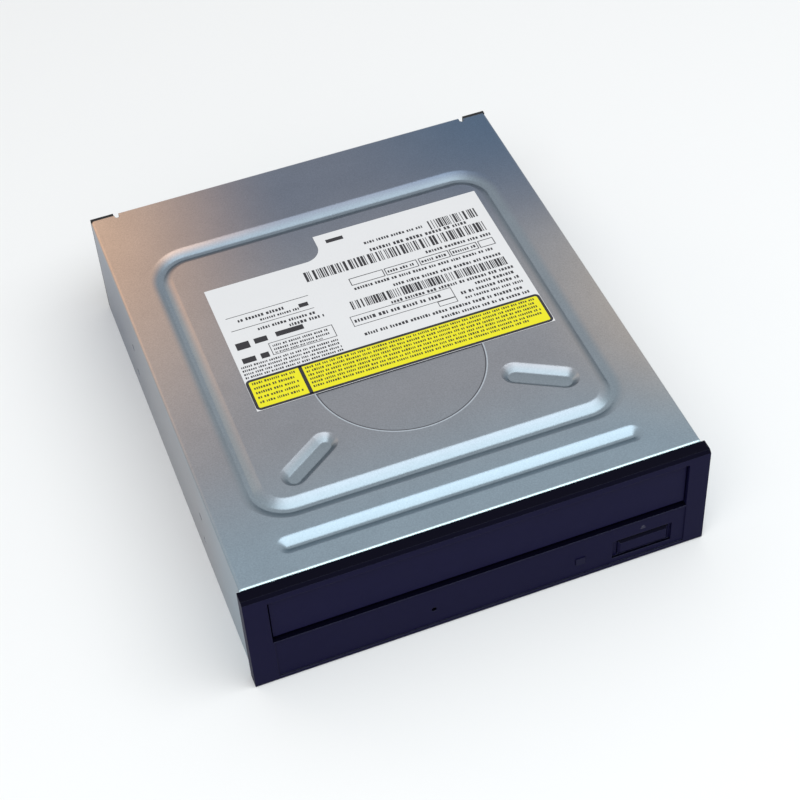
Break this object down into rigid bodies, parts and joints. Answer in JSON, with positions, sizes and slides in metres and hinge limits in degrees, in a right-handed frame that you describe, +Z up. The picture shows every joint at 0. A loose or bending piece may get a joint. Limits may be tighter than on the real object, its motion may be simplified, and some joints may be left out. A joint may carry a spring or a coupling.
{
  "type": "internal dvd writer",
  "caption": "Half-height internal optical drive: steel case with pressed grooves, black bezel with tray door and eject button, sliding disc tray, loader, lift frame and pickup.",
  "frame": {"origin": "mid width of the case, at the plane where the bezel meets the case, on the underside", "axes": "+X right seen from the bezel, +Y from the bezel to the rear connectors, +Z up"},
  "size_m": [0.1484, 0.1772, 0.0419],
  "materials": {
    "zinc_steel": "zinc-plated sheet, satin",
    "black_plastic": "moulded, fine grain",
    "door_plastic": "moulded, fine grain",
    "paper_label": "printed paper",
    "yellow_print": "printed band",
    "clear_window": "moulded window",
    "white_plastic": "acetal",
    "grey_plastic": "moulded",
    "connector_white": "nylon",
    "connector_black": "moulded",
    "rubber": "matt",
    "board_green": "solder mask",
    "chip_black": "epoxy",
    "pin_gold": "plated",
    "bright_steel": "ground",
    "zinc_casting": "die cast",
    "magnet": "sintered",
    "lens_glass": "coated",
    "lamp": "tinted lamp",
    "flex_film": "polyimide film"
  },
  "bodies": {
    "chassis": {"top_cover": "zinc_steel", "bottom_cover": "zinc_steel", "main_frame": "black_plastic", "front_bezel": "black_plastic", "label": "paper_label", "label_band": "yellow_print", "led_lens": "clear_window", "eject_switch": "grey_plastic", "status_led": "lamp", "front_board": "board_green", "clamper_bridge": "zinc_steel", "loading_motor": "bright_steel", "drive_belt": "rubber", "pickup_flex": "flex_film", "main_board": "board_green", "controller_chip": "chip_black", "driver_chip": "chip_black", "memory_chip": "chip_black", "capacitors": "bright_steel", "flex_socket": "connector_white", "data_connector": "connector_black", "data_pins": "pin_gold", "power_connector": "connector_white", "power_pins": "pin_gold", "jumper_block": "connector_black", "jumper_pins": "pin_gold", "jumper_cap": "connector_black", "audio_connectors": "connector_black", "case_screws": "bright_steel", "bridge_screws": "bright_steel", "gear_screws": "bright_steel"},
    "tray": {"disc_tray": "black_plastic", "tray_door": "door_plastic"},
    "button": {"eject_button": "black_plastic", "switch_plunger": "grey_plastic"},
    "clamp": {"clamper": "white_plastic", "clamper_magnet": "magnet", "clamper_yoke": "zinc_steel"},
    "drive_gear_body": {"drive_gear": "white_plastic"},
    "belt_wheel_body": {"belt_wheel": "white_plastic"},
    "motor_pulley_body": {"motor_pulley": "white_plastic"},
    "cam_slide_body": {"cam_slide": "grey_plastic"},
    "lift": {"lift_frame": "grey_plastic", "mech_chassis": "zinc_steel", "dampers": "rubber", "damper_screws": "bright_steel", "spindle_base": "zinc_steel", "main_rod": "bright_steel", "side_rod": "bright_steel", "sled_motor": "bright_steel"},
    "hub": {"spindle_rotor": "bright_steel", "turntable": "grey_plastic", "turntable_pad": "rubber"},
    "sled": {"pickup_body": "zinc_casting", "pickup_cover": "grey_plastic", "sled_nut": "white_plastic"},
    "lens": {"lens_holder": "chip_black", "objective_lens": "lens_glass"},
    "lead_screw_body": {"lead_screw": "bright_steel"}
  },
  "joints": [
    {"name": "tray_slide", "type": "slide", "parent": "chassis", "child": "tray", "axis": [0, -1, 0], "range_m": [0, 0.138]},
    {"name": "drive_gear_spin", "type": "hinge", "parent": "chassis", "child": "drive_gear_body", "pos_m": [-0.04, 0.0195, 0.016], "axis": [0, 0, 1], "range_deg": [0, 879.5]},
    {"name": "belt_wheel_spin", "type": "hinge", "parent": "chassis", "child": "belt_wheel_body", "pos_m": [-0.02099, 0.01683, 0.015], "axis": [0, 0, 1], "range_deg": [-2636.6, 0]},
    {"name": "motor_pulley_spin", "type": "hinge", "parent": "chassis", "child": "motor_pulley_body", "pos_m": [0.0086, 0.01605, 0.0166], "axis": [0, 0, 1], "range_deg": [-10544.4, 0]},
    {"name": "eject_button_press", "type": "slide", "parent": "chassis", "child": "button", "axis": [0, 1, 0], "range_m": [0, 0.0005], "stiffness_N_per_m": 2000, "springref_m": -0.0002},
    {"name": "cam_shift", "type": "slide", "parent": "chassis", "child": "cam_slide_body", "axis": [-1, 0, 0], "range_m": [0, 0.02]},
    {"name": "lift_tilt", "type": "hinge", "parent": "chassis", "child": "lift", "pos_m": [0, 0.15, 0.014], "axis": [1, 0, 0], "range_deg": [0, 3.87]},
    {"name": "spindle_spin", "type": "hinge", "parent": "lift", "child": "hub", "pos_m": [0, 0.066, 0.028], "axis": [0, 0, 1], "continuous": true},
    {"name": "clamper_spin", "type": "hinge", "parent": "chassis", "child": "clamp", "pos_m": [0, 0.066, 0.034], "axis": [0, 0, 1], "continuous": true},
    {"name": "sled_travel", "type": "slide", "parent": "lift", "child": "sled", "axis": [0, 1, 0], "range_m": [0, 0.0365], "deforming": ["pickup_flex"]},
    {"name": "lead_screw_spin", "type": "hinge", "parent": "lift", "child": "lead_screw_body", "pos_m": [0.036, 0.1, 0.019], "axis": [0, 1, 0], "range_deg": [0, 4381]},
    {"name": "lens_focus", "type": "slide", "parent": "sled", "child": "lens", "axis": [0, 0, 1], "range_m": [-0.0005, 0.0005], "stiffness_N_per_m": 40}
  ],
  "couplings": [
    {"joint": "drive_gear_spin", "follows": "tray_slide", "rad_per_m": 111.11},
    {"joint": "belt_wheel_spin", "follows": "tray_slide", "rad_per_m": -333.33},
    {"joint": "motor_pulley_spin", "follows": "tray_slide", "rad_per_m": -1333.3},
    {"joint": "lift_tilt", "follows": "cam_shift", "rad_per_m": 3.3328},
    {"joint": "clamper_spin", "follows": "spindle_spin", "ratio": 1},
    {"joint": "lead_screw_spin", "follows": "sled_travel", "rad_per_m": 2094.4}
  ]
}
